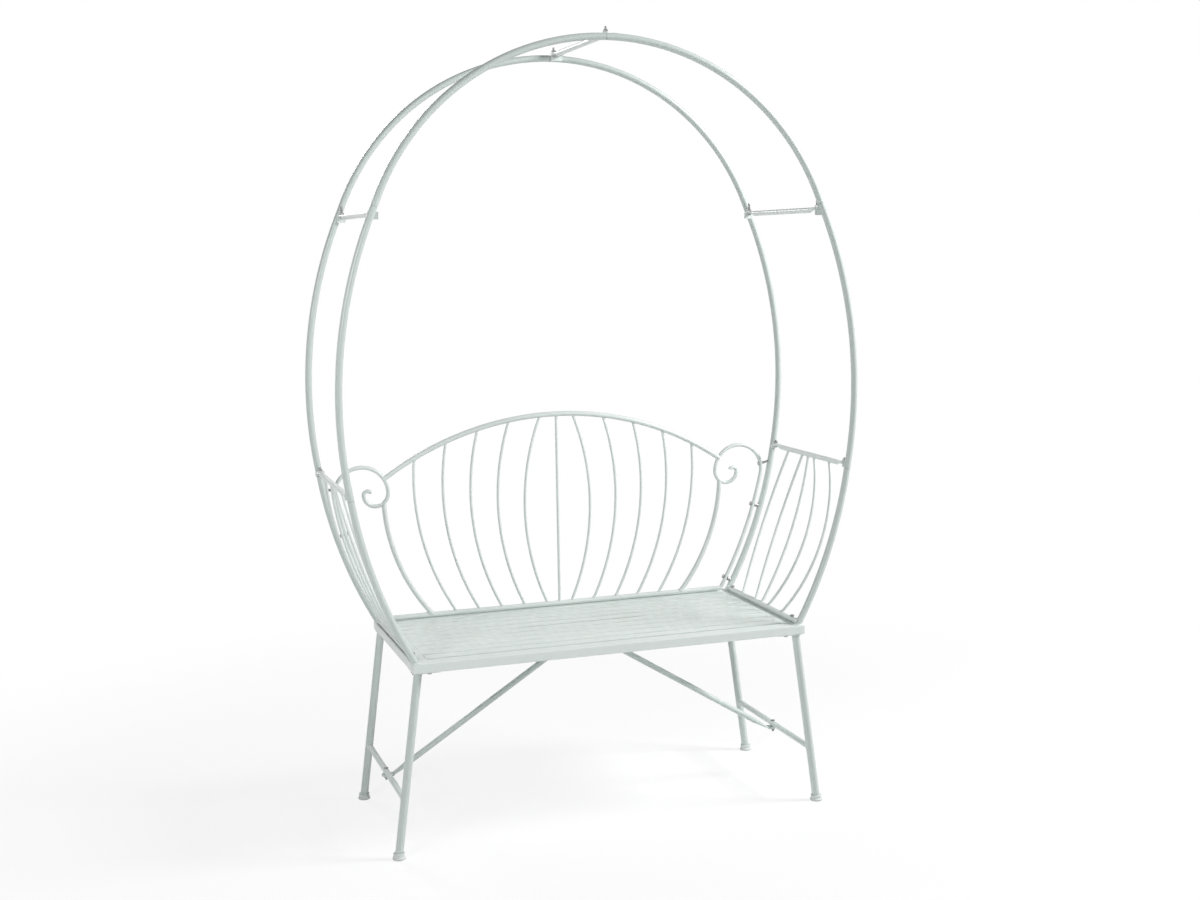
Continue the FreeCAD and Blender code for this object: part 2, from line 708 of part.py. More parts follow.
node("backrest_spacers", group("backrest_spacers", spacers))

ends = []
for name, side in SIDES:
    ends.append(bent_bar("bottom_rail_cope_" + name, scroll_arcs(side)[0], cope_radius))
span = S["post_foot_x"]
bottom = cylinder("bottom_rail_bar", V(-span, hoop_y, back_z), V(span, hoop_y, back_z), "{backrest_rail} / 2")
bottom_cut = cut("bottom_rail_coped", bottom, ends)
keep = box("bottom_rail_span", -span + S["stile_offset"], hoop_y - S["backrest_rail"], seat_top,
           "2 * ({post_foot_x} - {stile_offset})", "2 * {backrest_rail}", "2 * {backrest_rail}")
bottom_rail = doc.addObject("Part::Common", "backrest_bottom_rail")
bottom_rail.Base = bottom_cut
bottom_rail.Tool = keep
node("backrest_bottom_rail", bottom_rail)

arch_first = math.degrees(math.acos(arch_end / arch_radius))
arch = arc_of_plane(hoop_y, arch_centre, arch_radius, arch_first, 180 - 2 * arch_first, 1)
ends = []
for name, side in SIDES:
    curl = scroll_arcs(side)[2]
    ends.append(stub("arch_cope_" + name, curl, curl.sweep / 3, curl.sweep, cope_radius))
node("backrest_arch_rail", cut("backrest_arch_rail", bent_bar("arch_bar", arch, "{backrest_rail} / 2"), ends))


def rail_copes(part, low_x, high_x):
    """What a backrest rod is cut to: the bottom rail below and the arch above."""
    low = cylinder(part + "_low_cope", V(low_x - cope_reach, hoop_y, back_z),
                   V(low_x + cope_reach, hoop_y, back_z), "{backrest_rail} / 2 + {weld_gap}")
    high_first = math.degrees(math.acos((high_x + cope_reach) / arch_radius))
    sweep = math.degrees(2 * cope_reach / arch_radius)
    high_arc = arc_of_plane(hoop_y, arch_centre, arch_radius, high_first, sweep, 1)
    high = bent_bar(part + "_high_cope", high_arc, "{backrest_rail} / 2 + {weld_gap}")
    return [low, high]


rods_per_side = 5
first_rod_share = 0.52  # from the centre rod to the first rod, as a share of a rod space
foot_space_count = 5.57  # rod spaces from the middle to the stile's foot
top_space_count = 5.49  # rod spaces from the middle to the stile's top
centre_rod = cylinder("centre_rod", V(0, hoop_y, back_z), V(0, hoop_y, arch_z(0)), "{backrest_rod} / 2")
node("backrest_centre_rod", cut("backrest_centre_rod", centre_rod, rail_copes("centre_rod", 0, 0)))
foot_pitch = S["inner_stile_foot_x"] / foot_space_count
top_pitch = S["inner_stile_top_x"] / top_space_count
for name, side in SIDES:
    rods = []
    for index in range(rods_per_side):
        low_x = foot_pitch * (index + first_rod_share)
        high_x = top_pitch * (index + first_rod_share)
        low = (low_x, back_z)
        high = (high_x, arch_z(high_x))
        half_chord = math.hypot(high[0] - low[0], high[1] - low[1]) / 2
        bow = S["rod_bend"] - math.sqrt(S["rod_bend"] ** 2 - half_chord ** 2)
        middle = bowed(low, high, bow)
        arc = Arc(place(side, hoop_y, low), place(side, hoop_y, middle), place(side, hoop_y, high))
        rod_name = "back_rod_%s_%d" % (name, index)
        rod = bent_bar(rod_name, arc, "{backrest_rod} / 2")
        rods.append(cut(rod_name + "_coped", rod, rail_copes(rod_name, side * low_x, side * high_x)))
    node("backrest_rods_" + name, group("backrest_rods_" + name, rods))

    low = (S["inner_stile_foot_x"], back_z)
    inner_centre = scroll_centre[0] - S["scroll_radius"] + S["scroll_inner_radius"]
    drop = math.sqrt(S["scroll_inner_radius"] ** 2 - (inner_centre - S["inner_stile_top_x"]) ** 2)
    high = (S["inner_stile_top_x"], scroll_centre[1] - drop)
    middle = bowed(low, high, S["inner_stile_bow"])
    arc = Arc(place(side, hoop_y, low), place(side, hoop_y, middle), place(side, hoop_y, high))
    label = "backrest_stile_" + name
    stile = bent_bar(label + "_bar", arc, "{backrest_stile} / 2")
    copes = [
        cylinder(label + "_low_cope", V(side * low[0] - cope_reach, hoop_y, back_z),
                 V(side * low[0] + cope_reach, hoop_y, back_z), "{backrest_rail} / 2 + {weld_gap}"),
        bent_bar(label + "_high_cope", scroll_arcs(side)[3], cope_radius),
    ]
    node(label, cut(label, stile, copes))

# Leg frames: two splayed tubes, a rail between them, corner plates and moulded feet
lean = (S["leg_foot_x"] - S["leg_top_x"]) / rail_bottom


def leg_x(z):
    """The leg's distance from the middle at a height."""
    return S["leg_foot_x"] - lean * z


def leg_bar(name, side, end, radius, low, high):
    """A round bar on the leg's axis between two levels, cut level at both."""
    y = leg_y[end]
    below = low - cope_reach
    above = high + cope_reach
    bar = cylinder(name + "_bar", V(side * leg_x(below), y, below), V(side * leg_x(above), y, above), radius)
    half = S["trim_block"] / 2
    size(name + "_height", high - low)
    slab = box(name + "_slab", side * leg_x((low + high) / 2) - half, y - half, low,
               "{trim_block}", "{trim_block}", "{%s_height}" % name)
    thing = doc.addObject("Part::Common", name)
    thing.Base = bar
    thing.Tool = slab
    return thing


plates = []
plate_fixings = []
feet = []
for end_name, end in ENDS:
    for name, side in SIDES:
        part = "%s_%s" % (end_name, name)
        outer = leg_bar(part + "_leg_outside", side, end, "{leg_tube} / 2", S["foot_floor"], plate_bottom)
        bore = leg_bar(part + "_leg_bore", side, end, "{leg_tube} / 2 - {leg_wall}",
                       S["foot_floor"] - over, plate_bottom + over)
        node(part + "_leg", cut(part + "_leg", outer, [bore]))

        cap = doc.addObject("Part::Cone", part + "_cap")
        bind(cap, Radius1="{leg_tube} / 2 + {foot_flare}", Radius2="{leg_tube} / 2 + {foot_lip}",
             Height="{foot_height}")
        cap.Placement.Base = V(side * leg_x(S["foot_height"] / 2), leg_y[end], 0)
        socket = leg_bar(part + "_socket", side, end, "{leg_tube} / 2 + {cap_gap}", S["foot_floor"],
                         S["foot_height"] + over)
        feet.append(cut(part + "_foot", cap, [socket]))

        low_x = min(side * plate_out_x, side * (plate_out_x - S["plate_size"]))
        rim_y = leg_y[end] + end * S["plate_rim"]
        low_y = min(rim_y, rim_y - end * S["plate_size"])
        plate = box(part + "_plate_blank", low_x, low_y, plate_bottom, "{plate_size}", "{plate_size}",
                    "{plate_thickness}")
        leg_spot = V(side * S["leg_bolt_x"], leg_y[end], plate_bottom)
        panel_spot = V(side * S["post_foot_x"], end * S["arm_bolt_y"], plate_bottom)
        holes = [
            hole(part + "_leg_bolt_hole", leg_spot, V(0, 0, 1)),
            hole(part + "_panel_bolt_hole", panel_spot, V(0, 0, 1)),
        ]
        shank = S["plate_thickness"] + S["rail_height"] - over
        plate_fixings.append(hex_bolt(part + "_leg_bolt", leg_spot, V(0, 0, 1), shank))
        plates.append(cut(part + "_plate", plate, holes))
node("leg_top_plates", group("leg_top_plates", plates))
node("leg_bolts", group("leg_bolts", plate_fixings))
node("foot_caps", group("foot_caps", feet))

# Braces: tubes whose ends are pressed flat and bent level, one centre bolt at the top
brace_bolts = []
flat = S["brace_flat_thickness"]
run = S["brace_flat_length"]
half_width = S["brace_flat_width"] / 2
for name, side in SIDES:
    label = "brace_" + name
    rail_x = leg_x(S["leg_rail_z"])
    low_top = S["leg_rail_z"] - S["leg_rail"] / 2 - S["weld_gap"]
    high_top = strap_bottom if side < 0 else strap_bottom - flat
    low_bend = V(side * (rail_x - run), brace_y, low_top - flat / 2)
    high_bend = V(side * run, brace_y, high_top - flat / 2)
    down = (low_bend - high_bend).normalize()
    upward = V(-down.z * side, 0, down.x * side)
    round_low = low_bend - down * S["brace_taper"]
    round_high = high_bend + down * S["brace_taper"]
    oval = ("{brace_flat_width} / 2", "{brace_flat_thickness} / 2")
    pieces = [
        cylinder(label + "_tube", round_high, round_low, "{brace_tube} / 2"),
        taper(label + "_taper_high", round_high, high_bend, "{brace_tube} / 2", oval[0], oval[1], upward),
        taper(label + "_taper_low", round_low, low_bend, "{brace_tube} / 2", oval[0], oval[1], upward),
    ]
    holes = []
    for end_name, bend, eye_x in (("low", low_bend, side * rail_x), ("high", high_bend, 0)):
        part = "%s_%s" % (label, end_name)
        across = V(0, half_width, 0)
        pieces.append(cylinder(part + "_bend", bend - across, bend + across, "{brace_bend} / 2"))
        pieces.append(box(part + "_flat", min(bend.x, eye_x), brace_y - half_width, bend.z - flat / 2,
                          "{brace_flat_length}", "{brace_flat_width}", "{brace_flat_thickness}"))
        eye = V(eye_x, brace_y, bend.z - flat / 2)
        pieces.append(cylinder(part + "_eye", eye, eye + V(0, 0, flat), "{brace_flat_width} / 2"))
        holes.append(hole(part + "_hole", eye, V(0, 0, 1)))
    node(label, cut(label, joined(label + "_solid", pieces), holes))

    rail_centre = V(side * rail_x, brace_y, S["leg_rail_z"])
    nut_z = low_top - flat
    head_seat = rail_centre + V(0, 0, S["leg_rail"] / 2)
    shank = head_seat.z - nut_z + S["nut_height"] + over
    brace_bolts.append(hex_bolt(label + "_bolt", head_seat, V(0, 0, -1), shank, True))
    hex_nut(label + "_nut", V(rail_centre.x, brace_y, nut_z), V(0, 0, -1))

    rail_label = "leg_rail_" + name
    half_span = V(0, hoop_y, 0)
    side_rail = cylinder(rail_label + "_bar", rail_centre - half_span, rail_centre + half_span,
                         "{leg_rail} / 2")
    tools = [hole(rail_label + "_hole", rail_centre, V(0, 0, 1))]
    for end_name, end in ENDS:
        tools.append(leg_bar("%s_%s_cope" % (rail_label, end_name), side, end,
                             "{leg_tube} / 2 + {weld_gap}", rail_centre.z - cope_reach,
                             rail_centre.z + cope_reach))
    node(rail_label, cut(rail_label, side_rail, tools))
centre_seat = V(0, brace_y, strap_bottom - 2 * flat)
shank = 2 * flat + S["strap_thickness"] + S["nut_height"] + over
brace_bolts.append(hex_bolt("brace_centre_bolt", centre_seat, V(0, 0, 1), shank))
hex_nut("brace_centre_nut", V(0, brace_y, strap_bottom + S["strap_thickness"]), V(0, 0, 1))
node("brace_bolts", group("brace_bolts", brace_bolts))
node("hex_nuts", group("hex_nuts", hex_nuts))

# Rebuild, test and write every sub-part
doc.recompute()
os.makedirs("parts", exist_ok=True)
for thing in nodes:
    for item in [thing] + thing.OutListRecursive:
        bad = {"Invalid", "Error"} & set(item.State)
        if bad:
            raise RuntimeError("%s: %s is %s" % (thing.Label, item.Name, sorted(bad)))
    if thing.Shape.isNull() or not thing.Shape.isValid() or not thing.Shape.Solids:
        raise RuntimeError("%s has no valid solid" % thing.Label)
    thing.Shape.exportStep("parts/%s.step" % thing.Label)
print("%d sub-parts" % len(nodes))
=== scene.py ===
import json
import math
import random

import bmesh
import bpy
from mathutils import Matrix, Vector, noise


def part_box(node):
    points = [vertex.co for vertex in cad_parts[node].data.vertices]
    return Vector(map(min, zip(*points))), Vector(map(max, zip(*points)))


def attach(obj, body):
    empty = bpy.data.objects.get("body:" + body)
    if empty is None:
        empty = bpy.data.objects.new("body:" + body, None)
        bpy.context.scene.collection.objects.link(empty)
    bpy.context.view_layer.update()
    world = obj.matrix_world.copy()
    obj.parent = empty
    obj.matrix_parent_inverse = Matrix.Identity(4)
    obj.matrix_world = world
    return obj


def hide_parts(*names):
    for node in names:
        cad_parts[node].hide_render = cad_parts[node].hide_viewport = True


# Arbour seat: the looks of a painted steel bench under two tube hoops, in metres.
# The frame's solids stay as they are. This file paints them and adds what welding,
# threading and moulding leave on the real bench.

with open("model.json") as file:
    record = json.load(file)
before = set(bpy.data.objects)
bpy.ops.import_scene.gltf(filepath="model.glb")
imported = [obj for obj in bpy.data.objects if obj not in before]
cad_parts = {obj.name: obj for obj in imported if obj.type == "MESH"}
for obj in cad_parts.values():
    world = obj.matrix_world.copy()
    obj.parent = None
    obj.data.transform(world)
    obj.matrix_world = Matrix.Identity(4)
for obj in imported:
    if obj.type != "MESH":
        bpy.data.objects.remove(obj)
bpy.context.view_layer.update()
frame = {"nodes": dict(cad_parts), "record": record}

MM = 0.001
MERGE = 0.01 * MM
SHARP = math.radians(35)

# Colours, linear
TUBE_PAINT = (0.58, 0.645, 0.62)
BAR_PAINT = (0.72, 0.775, 0.755)
PAINT_SHADE = (0.55, 0.615, 0.59)
PRIMER = (0.40, 0.43, 0.41)
STEEL = (0.42, 0.425, 0.43)
STEEL_DULL = (0.24, 0.24, 0.235)
CAP_PLASTIC = (0.66, 0.70, 0.69)
CAP_SCUFF = (0.42, 0.45, 0.44)
# Dust on faces that look up, paler than the paint: it also paints light from above onto them
DUST_AND_TOP_LIGHT = (0.80, 0.80, 0.77)

# The floor's colour where it is seen, and the darker one with which it lights the bench
FLOOR_WHITE = (0.95, 0.955, 0.955)
FLOOR_BOUNCE = (0.80, 0.81, 0.805)

# Weld beads: their radii, then how a bead ripples, swells, wanders and tapers at its ends
ROD_BEAD = 1.5 * MM
BAR_BEAD = 1.9 * MM
TUBE_BEAD = 2.3 * MM
SEAM_BEAD = 0.7 * MM
BEAD_STEP = 1.1 * MM
BEAD_SIDES = 8
RIPPLE = 2.1 * MM
RIPPLE_DEPTH = 0.10
LUMP = 5 * MM
LUMP_DEPTH = 0.22
WANDER = 0.15
END_SIZE = 0.55
END_GROWTH = 0.25

# Levels and sizes that the solids were made with
SEAT_TOP = 450 * MM
RAIL_BOTTOM = 430 * MM
PLATE_BOTTOM = 426 * MM
RAIL_WIDTH = 40 * MM
CROWN_AXIS = 1831 * MM
LEG_SHIFT = 58 * MM

# The studio: how much of the floor's white is its own near the bench, where it turns
# plain white, how far and how high it runs, and the even light of the room
FLOOR_SHARE = 0.80
FLOOR_NEAR = 1.1
FLOOR_FAR = 2.3
FLOOR_REACH = 36.0
FLOOR_SIDES = 64
WALL_HEIGHT = 14.0
ROOM_LEVEL = 0.54


# Mesh helpers
def new_piece(name, mesh_data, material):
    """A finished mesh as a piece that rides on the bench."""
    mesh = bpy.data.meshes.new(name)
    mesh_data.to_mesh(mesh)
    mesh_data.free()
    mesh.materials.append(material)
    piece = bpy.data.objects.new(name, mesh)
    bpy.context.scene.collection.objects.link(piece)
    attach(piece, "root")
    return piece


def skin(made, rings, closed, smooth=True):
    """Faces between rings of points; open runs get a cap at each end."""
    rows = [[made.verts.new(point) for point in ring] for ring in rings]
    count = len(rows[0])
    last = len(rows) if closed else len(rows) - 1
    for index in range(last):
        here = rows[index]
        there = rows[(index + 1) % len(rows)]
        for side in range(count):
            after = (side + 1) % count
            face = made.faces.new((here[side], here[after], there[after], there[side]))
            face.smooth = smooth
    if not closed:
        made.faces.new(list(reversed(rows[0])))
        made.faces.new(rows[-1])


def axes_about(along):
    """A direction and two more that are square to it."""
    along = along.normalized()
    across = along.orthogonal().normalized()
    return along, across, along.cross(across)


def round_ring(centre, axes, radius, count):
    """A circle of points about the first of the axes."""
    across, up = axes[1:]
    turns = [2 * math.pi * index / count for index in range(count)]
    return [centre + (across * math.cos(turn) + up * math.sin(turn)) * radius for turn in turns]


def evenly(points, step, closed):
    """The same line with evenly spaced points."""
    line = list(points)
    if closed:
        line.append(line[0])
    lengths = [(b - a).length for a, b in zip(line, line[1:])]
    total = sum(lengths)
    count = max(4, round(total / step))
    spaced = []
    travelled = 0.0
    index = 0
    last = count if closed else count + 1
    for number in range(last):
        goal = total * number / count
        while index < len(lengths) - 1 and travelled + lengths[index] < goal:
            travelled += lengths[index]
            index += 1
        share = (goal - travelled) / max(lengths[index], 1e-9)
        spaced.append(line[index].lerp(line[index + 1], min(1.0, share)))
    return spaced


def weld_bead(made, points, radius, closed, chance):
    """A rippled bead of weld along a line of points."""
    line = evenly(points, BEAD_STEP, closed)
    offset = chance.uniform(0, 100)
    rings = []
    for index, point in enumerate(line):
        if closed:
            before = line[index - 1]
            after = line[(index + 1) % len(line)]
        else:
            before = line[max(0, index - 1)]
            after = line[min(len(line) - 1, index + 1)]
        travelled = index * BEAD_STEP
        ripple = RIPPLE_DEPTH * math.sin(2 * math.pi * travelled / RIPPLE + offset)
        lump = LUMP_DEPTH * noise.noise(Vector((travelled / LUMP, offset, 0)))
        end = 1.0
        if not closed:
            from_end = min(index, len(line) - 1 - index)
            end = min(1.0, END_SIZE + END_GROWTH * from_end)
        size = radius * end * (1 + ripple + lump)
        drift = Vector((noise.noise(point * 300), noise.noise(point * 310), noise.noise(point * 320)))
        centre = point + drift * radius * WANDER
        rings.append(round_ring(centre, axes_about(after - before), size, BEAD_SIDES))
    for earlier, later in zip(rings, rings[1:]):
        align(earlier, later)
    if closed:
        turn_to_match(rings)
    skin(made, rings, closed)


def best_shift(ring, other):
    """How far the numbering of the other ring turns to lie closest to the first."""
    def spread(shift):
        turned = other[shift:] + other[:shift]
        return sum((a - b).length for a, b in zip(ring, turned))
    return min(range(len(ring)), key=spread)


def align(earlier, later):
    """Turn a ring's numbering so that its points follow those of the ring before."""
    best = best_shift(earlier, later)
    later[:] = later[best:] + later[:best]


def turn_to_match(rings):
    """Spread the twist that a closed bead gathers, so that its last ring meets the first."""
    count = len(rings[0])
    best = best_shift(rings[-1], rings[0])
    if best > count / 2:
        best -= count
    for index, ring in enumerate(rings):
        shift = -round(best * index / len(rings)) % count
        ring[:] = ring[shift:] + ring[:shift]


def welded_mesh(node):
    """A copy of a node's mesh whose split corners are joined again."""
    copied = bmesh.new()
    copied.from_mesh(frame["nodes"][node].data)
    bmesh.ops.remove_doubles(copied, verts=copied.verts, dist=MERGE)
    return copied


def sharp_rings(node):
    """The closed sharp edges of a node, each as its points in order."""
    copied = welded_mesh(node)
    sharp = {}
    for edge in copied.edges:
        if len(edge.link_faces) == 2 and edge.calc_face_angle() > SHARP:
            sharp[edge] = True
    rings = []
    while sharp:
        edge = next(iter(sharp))
        del sharp[edge]
        start, vert = edge.verts
        points = [start.co.copy(), vert.co.copy()]
        while vert != start:
            onward = [e for e in vert.link_edges if e in sharp]
            if not onward:
                break
            edge = onward[0]
            del sharp[edge]
            vert = edge.other_vert(vert)
            points.append(vert.co.copy())
        if vert == start and len(points) > 4:
            rings.append(points[:-1])
    copied.free()
    return rings


def ring_length(points):
    return sum((a - b).length for a, b in zip(points, points[1:] + points[:1]))


def ring_middle(points):
    return sum(points, Vector()) / len(points)


def loose_parts(node):
    """The points of each separate solid in a node."""
    copied = welded_mesh(node)
    left = dict.fromkeys(copied.verts)
    parts = []
    while left:
        seed = next(iter(left))
        del left[seed]
        found = [seed]
        stack = [seed]
        while stack:
            vert = stack.pop()
            for edge in vert.link_edges:
                other = edge.other_vert(vert)
                if other in left:
                    del left[other]
                    found.append(other)
                    stack.append(other)
        parts.append([vert.co.copy() for vert in found])
    copied.free()
    parts.sort(key=lambda part: tuple(round(value, 4) for value in ring_middle(part)))
    return parts


# Shader groups
def new_group(name, inputs, outputs):
    """An empty shader node group with named sockets, and its two end nodes."""
    group = bpy.data.node_groups.new(name, "ShaderNodeTree")
    for label, kind, value in inputs:
        socket = group.interface.new_socket(name=label, in_out="INPUT", socket_type=kind)
        socket.default_value = value
    for label, kind in outputs:
        group.interface.new_socket(name=label, in_out="OUTPUT", socket_type=kind)
    return group, group.nodes.new("NodeGroupInput"), group.nodes.new("NodeGroupOutput")


def math_node(tree, operation, first, second):
    """A math node; each operand is a socket or a number."""
    made = tree.nodes.new("ShaderNodeMath")
    made.operation = operation
    for slot, value in zip(made.inputs, (first, second)):
        if isinstance(value, (int, float)):
            slot.default_value = value
        else:
            tree.links.new(value, slot)
    return made.outputs[0]


def noise_node(tree, place, scale, detail=2.0):
    """A noise texture; scale is a socket or a number."""
    made = tree.nodes.new("ShaderNodeTexNoise")
    tree.links.new(place, made.inputs["Vector"])
    made.inputs["Detail"].default_value = detail
    if isinstance(scale, (int, float)):
        made.inputs["Scale"].default_value = scale
    else:
        tree.links.new(scale, made.inputs["Scale"])
    return made.outputs["Fac"]


def ramp(tree, value, low, high, to_low=0.0, to_high=1.0):
    """A value mapped from one range to another and held inside it."""
    made = tree.nodes.new("ShaderNodeMapRange")
    tree.links.new(value, made.inputs["Value"])
    made.inputs["From Min"].default_value = low
    made.inputs["From Max"].default_value = high
    made.inputs["To Min"].default_value = to_low
    made.inputs["To Max"].default_value = to_high
    return made.outputs["Result"]


def mixed(tree, share, first, second):
    """A colour between two; each is a socket or a plain colour."""
    made = tree.nodes.new("ShaderNodeMix")
    made.data_type = "RGBA"
    tree.links.new(share, made.inputs[0])
    for slot, colour in ((made.inputs[6], first), (made.inputs[7], second)):
        if isinstance(colour, tuple):
            slot.default_value = colour + (1.0,)
        else:
            tree.links.new(colour, slot)
    return made.outputs[2]


def edge_wear_group():
    """Where an outer edge has lost its paint, in broken patches."""
    group, given, result = new_group(
        "edge_wear",
        [("Radius", "NodeSocketFloat", 0.8 * MM), ("Patch Scale", "NodeSocketFloat", 120.0),
         ("Amount", "NodeSocketFloat", 0.5)],
        [("Wear", "NodeSocketFloat")])
    rounded = group.nodes.new("ShaderNodeBevel")
    rounded.samples = 4
    group.links.new(given.outputs["Radius"], rounded.inputs["Radius"])
    surface = group.nodes.new("ShaderNodeNewGeometry")
    facing = group.nodes.new("ShaderNodeVectorMath")
    facing.operation = "DOT_PRODUCT"
    group.links.new(rounded.outputs["Normal"], facing.inputs[0])
    group.links.new(surface.outputs["Normal"], facing.inputs[1])
    edge = ramp(group, facing.outputs["Value"], 0.985, 0.80)
    place = group.nodes.new("ShaderNodeTexCoord").outputs["Object"]
    patches = noise_node(group, place, given.outputs["Patch Scale"], 4.0)
    broken = ramp(group, patches, 0.52, 0.66)
    wear = math_node(group, "MULTIPLY", edge, broken)
    wear = math_node(group, "MULTIPLY", wear, given.outputs["Amount"])
    group.links.new(wear, result.inputs["Wear"])
    return group


def paint_skin_group():
    """The small relief and the cloudy tone of a sprayed coat."""
    group, given, result = new_group(
        "paint_skin",
        [("Peel Scale", "NodeSocketFloat", 650.0), ("Lump Scale", "NodeSocketFloat", 95.0),
         ("Cloud Scale", "NodeSocketFloat", 9.0)],
        [("Height", "NodeSocketFloat"), ("Cloud", "NodeSocketFloat"), ("Gloss", "NodeSocketFloat")])
    place = group.nodes.new("ShaderNodeTexCoord").outputs["Object"]
    peel = noise_node(group, place, given.outputs["Peel Scale"], 2.0)
    lumps = noise_node(group, place, given.outputs["Lump Scale"], 3.0)
    cloud = noise_node(group, place, given.outputs["Cloud Scale"], 5.0)
    height = math_node(group, "ADD", math_node(group, "MULTIPLY", peel, 0.45), lumps)
    group.links.new(height, result.inputs["Height"])
    group.links.new(ramp(group, cloud, 0.35, 0.68), result.inputs["Cloud"])
    group.links.new(ramp(group, lumps, 0.30, 0.75), result.inputs["Gloss"])
    return group


def dust_and_top_light_group():
    """Dust that settles where a surface looks up, with a painted lightening there that stands for light
    from above.
    """
    group, given, result = new_group(
        "dust_and_top_light",
        [("Amount", "NodeSocketFloat", 0.3), ("Scale", "NodeSocketFloat", 40.0)],
        [("Dust And Top Light", "NodeSocketFloat")])
    surface = group.nodes.new("ShaderNodeNewGeometry")
    split = group.nodes.new("ShaderNodeSeparateXYZ")
    group.links.new(surface.outputs["Normal"], split.inputs[0])
    upward = ramp(group, split.outputs["Z"], 0.45, 1.0)
    place = group.nodes.new("ShaderNodeTexCoord").outputs["Object"]
    speck = ramp(group, noise_node(group, place, given.outputs["Scale"], 6.0), 0.42, 0.72)
    dust_and_light = math_node(group, "MULTIPLY", upward, speck)
    dust_and_light = math_node(group, "MULTIPLY", dust_and_light, given.outputs["Amount"])
    group.links.new(dust_and_light, result.inputs["Dust And Top Light"])
    return group


EDGE_WEAR = edge_wear_group()
PAINT_SKIN = paint_skin_group()
DUST_AND_TOP_LIGHT_GROUP = dust_and_top_light_group()


# Materials
def placed(tree, group, **values):
    """A group placed in a material with its own values."""
    made = tree.nodes.new("ShaderNodeGroup")
    made.node_tree = group
    for label, value in values.items():
        made.inputs[label.replace("_", " ")].default_value = value
    return made


def new_material(name):
    """A material with only its shader, and the shader's tree."""
    material = bpy.data.materials.new(name)
    material.use_nodes = True
    tree = material.node_tree
    shader = next(item for item in tree.nodes if item.type == "BSDF_PRINCIPLED")
    return material, tree, shader


def relief(tree, shader, height, strength, distance):
    """A bump from a height into the shader's normal."""
    bump = tree.nodes.new("ShaderNodeBump")
    bump.inputs["Strength"].default_value = strength
    bump.inputs["Distance"].default_value = distance
    tree.links.new(height, bump.inputs["Height"])
    tree.links.new(bump.outputs["Normal"], shader.inputs["Normal"])


def satin_paint(name, colour, lump_scale, wear):
    """Pale satin enamel on steel, with a sprayed skin and a little wear on its edges."""
    material, tree, shader = new_material(name)
    skin_of = placed(tree, PAINT_SKIN, Lump_Scale=lump_scale)
    worn = placed(tree, EDGE_WEAR, Amount=wear)
    # Faces that look up are lightened: settled dust, and painted light from above
    dusty_and_lit = placed(tree, DUST_AND_TOP_LIGHT_GROUP, Amount=0.12)
    tone = mixed(tree, math_node(tree, "MULTIPLY", skin_of.outputs["Cloud"], 0.12), colour, PAINT_SHADE)
    tone = mixed(tree, dusty_and_lit.outputs["Dust And Top Light"], tone, DUST_AND_TOP_LIGHT)
    tone = mixed(tree, worn.outputs["Wear"], tone, PRIMER)
    tree.links.new(tone, shader.inputs["Base Color"])
    rough = ramp(tree, skin_of.outputs["Gloss"], 0.0, 1.0, 0.30, 0.42)
    rough = math_node(tree, "ADD", rough, math_node(tree, "MULTIPLY", worn.outputs["Wear"], 0.25))
    tree.links.new(rough, shader.inputs["Roughness"])
    shader.inputs["Coat Weight"].default_value = 0.25
    shader.inputs["Coat Roughness"].default_value = 0.22
    relief(tree, shader, skin_of.outputs["Height"], 0.10, 0.02 * MM)
    return material


def zinc_steel():
    """Zinc-plated steel of the bolts and nuts, with a fine turned grain and dull patches."""
    material, tree, shader = new_material("zinc_steel")
    place = tree.nodes.new("ShaderNodeTexCoord").outputs["Object"]
    stretch = tree.nodes.new("ShaderNodeMapping")
    stretch.inputs["Scale"].default_value = (220.0, 220.0, 2600.0)
    tree.links.new(place, stretch.inputs["Vector"])
    grain = noise_node(tree, stretch.outputs["Vector"], 1.0, 3.0)
    patches = ramp(tree, noise_node(tree, place, 260.0, 5.0), 0.40, 0.70)
    tree.links.new(mixed(tree, patches, STEEL, STEEL_DULL), shader.inputs["Base Color"])
    tree.links.new(ramp(tree, patches, 0.0, 1.0, 0.95, 0.70), shader.inputs["Metallic"])
    tree.links.new(ramp(tree, patches, 0.0, 1.0, 0.32, 0.55), shader.inputs["Roughness"])
    relief(tree, shader, grain, 0.30, 0.06 * MM)
    return material


def moulded_plastic():
    """Moulded foot caps: a fine spark-eroded grain, scuffed near the floor."""
    material, tree, shader = new_material("moulded_cap")
    place = tree.nodes.new("ShaderNodeTexCoord").outputs["Object"]
    grain = noise_node(tree, place, 1500.0, 2.0)
    split = tree.nodes.new("ShaderNodeSeparateXYZ")
    tree.links.new(place, split.inputs[0])
    low = ramp(tree, split.outputs["Z"], 6 * MM, 0.0)
    patches = ramp(tree, noise_node(tree, place, 320.0, 5.0), 0.38, 0.66)
    scuff = math_node(tree, "MULTIPLY", low, patches)
    tree.links.new(mixed(tree, scuff, CAP_PLASTIC, CAP_SCUFF), shader.inputs["Base Color"])
    tree.links.new(ramp(tree, grain, 0.2, 0.8, 0.46, 0.60), shader.inputs["Roughness"])
    relief(tree, shader, grain, 0.30, 0.05 * MM)
    return material


tube_paint = satin_paint("tube_paint", TUBE_PAINT, 95.0, 0.35)
bar_paint = satin_paint("bar_paint", BAR_PAINT, 120.0, 0.45)
weld_paint = satin_paint("weld_paint", BAR_PAINT, 420.0, 0.0)
steel = zinc_steel()
cap_plastic = moulded_plastic()

